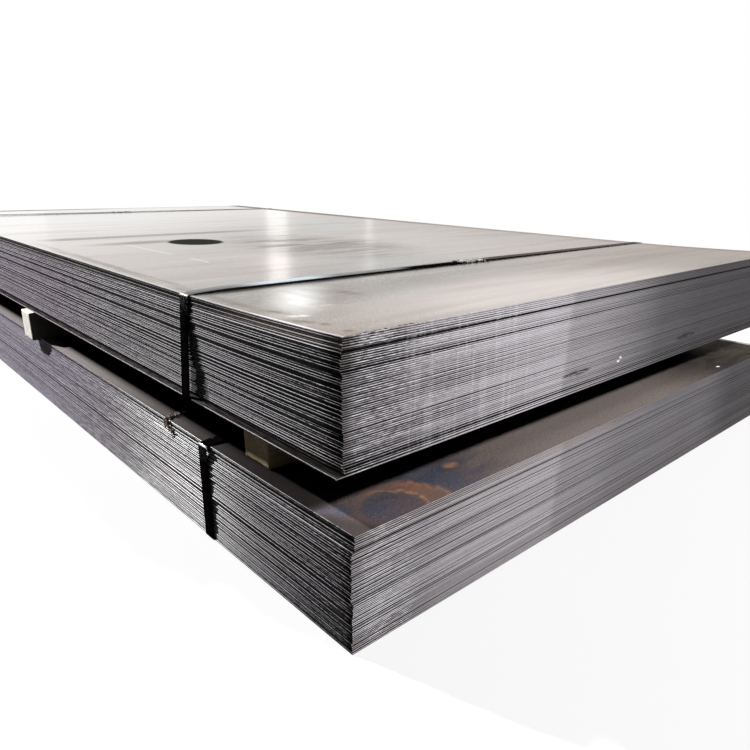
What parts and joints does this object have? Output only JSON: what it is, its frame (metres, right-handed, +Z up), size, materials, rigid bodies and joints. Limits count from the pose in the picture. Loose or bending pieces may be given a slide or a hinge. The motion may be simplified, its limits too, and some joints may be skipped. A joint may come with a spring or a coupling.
{
  "type": "stacked bundles of steel plate",
  "caption": "Two strapped bundles of flat rectangular steel plates, one on the other, held apart by squared timber bearers.",
  "frame": {"origin": "middle of the stack's footprint, on the floor", "axes": "+X across the plates, +Y along them from the sprung near end to the far end, +Z up"},
  "size_m": [1.292, 2.5196, 0.373],
  "materials": {
    "plate": "hot rolled, oiled, with handling marks",
    "strap": "black lacquered steel strapping",
    "seal": "zinc coated strap seal, crimped",
    "timber": "rough sawn softwood"
  },
  "bodies": {
    "root": {"lower_sheet_bottom": "plate", "lower_lift_base": "plate", "lower_lift_low": "plate", "lower_lift_middle": "plate", "lower_lift_high": "plate", "lower_lift_top": "plate", "lower_sheet_top": "plate", "lower_strap_near": "strap", "lower_strap_far": "strap", "lower_seal_near": "seal", "lower_seal_far": "seal", "bearer_near": "timber", "bearer_middle": "timber", "bearer_far": "timber", "upper_sheet_bottom": "plate", "upper_lift_second": "plate", "upper_lift_loose": "plate", "upper_lift_low": "plate", "upper_lift_middle": "plate", "upper_lift_inner": "plate", "upper_lift_high": "plate", "upper_lift_fanned": "plate", "upper_lift_top": "plate", "upper_sheet_top": "plate", "upper_strap_near": "strap", "upper_strap_far": "strap", "upper_seal_near": "seal", "upper_seal_far": "seal"}
  },
  "joints": []
}
